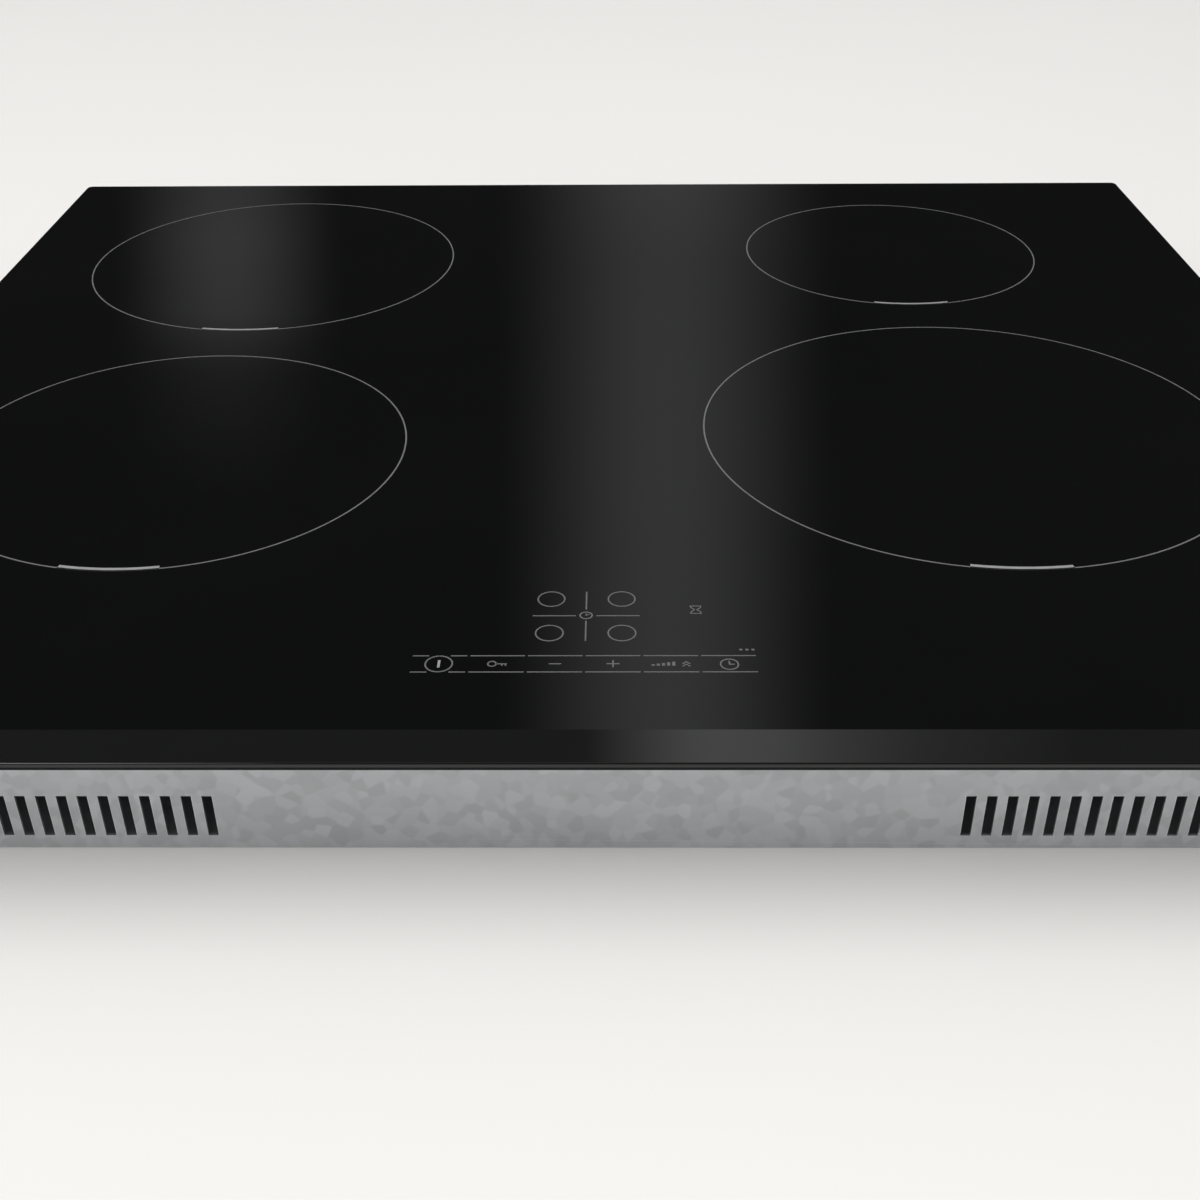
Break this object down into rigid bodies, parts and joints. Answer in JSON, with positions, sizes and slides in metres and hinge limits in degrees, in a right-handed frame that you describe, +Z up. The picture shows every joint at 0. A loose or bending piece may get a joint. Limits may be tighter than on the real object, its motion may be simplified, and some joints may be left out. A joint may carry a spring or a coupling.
{
  "type": "built-in induction hob",
  "caption": "Flush-look built-in induction hob with a black glass top, round cooking zones, a touch control strip and a vented steel case",
  "frame": {"origin": "under the centre of the glass plate, at the level of the case's underside", "axes": "+Z up, +X to the user's right, +Y to the back; the faceted front edge faces -Y"},
  "size_m": [0.592, 0.522, 0.051],
  "materials": {
    "black_glass_ceramic": "polished black glass-ceramic, opaque from above, ground front facet",
    "print_enamel": "fired ceramic enamel, pale grey, thin",
    "foam_seal": "closed-cell foam strip, matt",
    "silicone": "cured black silicone, satin",
    "galvanised_steel": "zinc-coated sheet, faint spangle",
    "screw_steel": "zinc-plated steel",
    "spring_steel": "bright spring steel",
    "label_foil": "blank satin foil",
    "copper_litz": "enamelled copper litz, satin",
    "carrier_plastic": "glass-filled moulded plastic, matt",
    "ferrite": "sintered ferrite, dull",
    "fibre_felt": "ceramic-fibre felt",
    "sensor_white": "white moulded holder",
    "shield_aluminium": "mill-finish sheet",
    "tray_plastic": "flame-retardant plastic, matt",
    "circuit_board": "green solder mask",
    "extruded_aluminium": "extruded, unpainted",
    "chip_black": "moulded epoxy package",
    "capacitor_shell": "dipped film capacitor",
    "choke_core": "coated toroid with copper turns",
    "blower_plastic": "moulded plastic, matt",
    "motor_copper": "stator laminations and windings",
    "terminal_plastic": "moulded plastic, matt",
    "block_plastic": "cream moulded plastic",
    "gland_plastic": "black nylon, matt",
    "display_face": "dark display window",
    "wire_insulation": "silicone-insulated leads"
  },
  "bodies": {
    "case": {"glass_top": "black_glass_ceramic", "glass_print": "print_enamel", "board_trays": "tray_plastic", "worktop_seal": "foam_seal", "glass_bond": "silicone", "glass_frame": "galvanised_steel", "frame_screws": "screw_steel", "base_pan": "galvanised_steel", "rating_label": "label_foil", "coil_bridge": "shield_aluminium", "power_transistors": "chip_black", "board_capacitors": "capacitor_shell", "filter_chokes": "choke_core", "terminal_box": "terminal_plastic", "terminal_block": "block_plastic", "terminal_screws": "screw_steel", "cable_gland": "gland_plastic", "control_carrier": "carrier_plastic", "control_board": "circuit_board", "touch_springs": "spring_steel", "digit_displays": "display_face", "clip_feet": "spring_steel", "wiring_harness": "wire_insulation", "coil_springs_front_left": "spring_steel", "coil_springs_rear_left": "spring_steel", "coil_springs_rear_right": "spring_steel", "coil_springs_front_right": "spring_steel", "inverter_board_left": "circuit_board", "heat_sink_left": "extruded_aluminium", "blower_housing_left": "blower_plastic", "blower_motor_left": "motor_copper", "inverter_board_right": "circuit_board", "heat_sink_right": "extruded_aluminium", "blower_housing_right": "blower_plastic", "blower_motor_right": "motor_copper"},
    "coil_unit_front_left": {"coil_winding_front_left": "copper_litz", "coil_carrier_front_left": "carrier_plastic", "ferrite_bars_front_left": "ferrite", "insulation_pad_front_left": "fibre_felt", "temperature_sensor_front_left": "sensor_white"},
    "coil_unit_rear_left": {"coil_winding_rear_left": "copper_litz", "coil_carrier_rear_left": "carrier_plastic", "ferrite_bars_rear_left": "ferrite", "insulation_pad_rear_left": "fibre_felt", "temperature_sensor_rear_left": "sensor_white"},
    "coil_unit_rear_right": {"coil_winding_rear_right": "copper_litz", "coil_carrier_rear_right": "carrier_plastic", "ferrite_bars_rear_right": "ferrite", "insulation_pad_rear_right": "fibre_felt", "temperature_sensor_rear_right": "sensor_white"},
    "coil_unit_front_right": {"coil_winding_front_right": "copper_litz", "coil_carrier_front_right": "carrier_plastic", "ferrite_bars_front_right": "ferrite", "insulation_pad_front_right": "fibre_felt", "temperature_sensor_front_right": "sensor_white"},
    "wheel_left": {"blower_wheel_left": "blower_plastic"},
    "leaf_left": {"clip_leaf_left": "spring_steel"},
    "wheel_right": {"blower_wheel_right": "blower_plastic"},
    "leaf_right": {"clip_leaf_right": "spring_steel"},
    "cover": {"terminal_cover": "terminal_plastic"}
  },
  "joints": [
    {"name": "coil_press_front_left", "type": "slide", "parent": "case", "child": "coil_unit_front_left", "axis": [0, 0, 1], "range_m": [-0.003, 0], "stiffness_N_per_m": 4500, "springref_m": 0.005, "deforming": ["coil_springs_front_left"]},
    {"name": "coil_press_rear_left", "type": "slide", "parent": "case", "child": "coil_unit_rear_left", "axis": [0, 0, 1], "range_m": [-0.003, 0], "stiffness_N_per_m": 4500, "springref_m": 0.005, "deforming": ["coil_springs_rear_left"]},
    {"name": "coil_press_rear_right", "type": "slide", "parent": "case", "child": "coil_unit_rear_right", "axis": [0, 0, 1], "range_m": [-0.003, 0], "stiffness_N_per_m": 4500, "springref_m": 0.005, "deforming": ["coil_springs_rear_right"]},
    {"name": "coil_press_front_right", "type": "slide", "parent": "case", "child": "coil_unit_front_right", "axis": [0, 0, 1], "range_m": [-0.003, 0], "stiffness_N_per_m": 4500, "springref_m": 0.005, "deforming": ["coil_springs_front_right"]},
    {"name": "wheel_spin_left", "type": "hinge", "parent": "case", "child": "wheel_left", "pos_m": [-0.165, 0.165, 0.012], "axis": [0, 0, 1], "continuous": true},
    {"name": "wheel_spin_right", "type": "hinge", "parent": "case", "child": "wheel_right", "pos_m": [0.165, 0.165, 0.012], "axis": [0, 0, 1], "continuous": true},
    {"name": "cover_hinge", "type": "hinge", "parent": "case", "child": "cover", "pos_m": [0.043, 0.2442, 0.0044], "axis": [-1, 0, 0], "range_deg": [0, 95]},
    {"name": "leaf_flex_left", "type": "hinge", "parent": "case", "child": "leaf_left", "pos_m": [-0.27865, 0.02, 0.0188], "axis": [0, 1, 0], "range_deg": [0, 10], "stiffness_Nm_per_rad": 1},
    {"name": "leaf_flex_right", "type": "hinge", "parent": "case", "child": "leaf_right", "pos_m": [0.27865, 0.02, 0.0188], "axis": [0, -1, 0], "range_deg": [0, 10], "stiffness_Nm_per_rad": 1}
  ]
}
